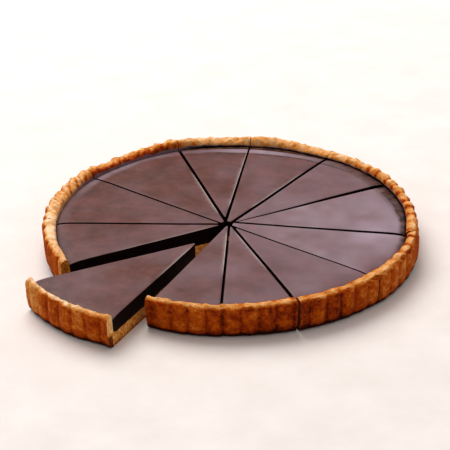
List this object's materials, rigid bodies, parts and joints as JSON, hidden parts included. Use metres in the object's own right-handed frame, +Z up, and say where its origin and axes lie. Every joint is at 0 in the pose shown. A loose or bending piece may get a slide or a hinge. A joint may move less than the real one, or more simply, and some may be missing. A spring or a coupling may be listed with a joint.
{
  "type": "chocolate tart",
  "caption": "Round chocolate tart: dark ganache in a fluted shortcrust case, cut into wedge slices, one of them drawn part of the way out.",
  "frame": {"origin": "middle of the tart's extent at the level of the table it rests on, which is close to where its cuts meet", "axes": "+Z up out of the filling, -Y the front, the drawn-out slice points out to the front left (-X and -Y)"},
  "size_m": [0.2842, 0.2934, 0.0289],
  "materials": {
    "crust": "matte",
    "ganache": "satin"
  },
  "bodies": {
    "root": {"crust_01": "crust", "crust_02": "crust", "crust_03": "crust", "crust_04": "crust", "crust_05": "crust", "crust_06": "crust", "crust_07": "crust", "crust_08": "crust", "crust_09": "crust", "crust_10": "crust", "crust_11": "crust", "crust_12": "crust", "ganache_01": "ganache", "ganache_02": "ganache", "ganache_03": "ganache", "ganache_04": "ganache", "ganache_05": "ganache", "ganache_06": "ganache", "ganache_07": "ganache", "ganache_08": "ganache", "ganache_09": "ganache", "ganache_10": "ganache", "ganache_11": "ganache", "ganache_12": "ganache"}
  },
  "joints": []
}
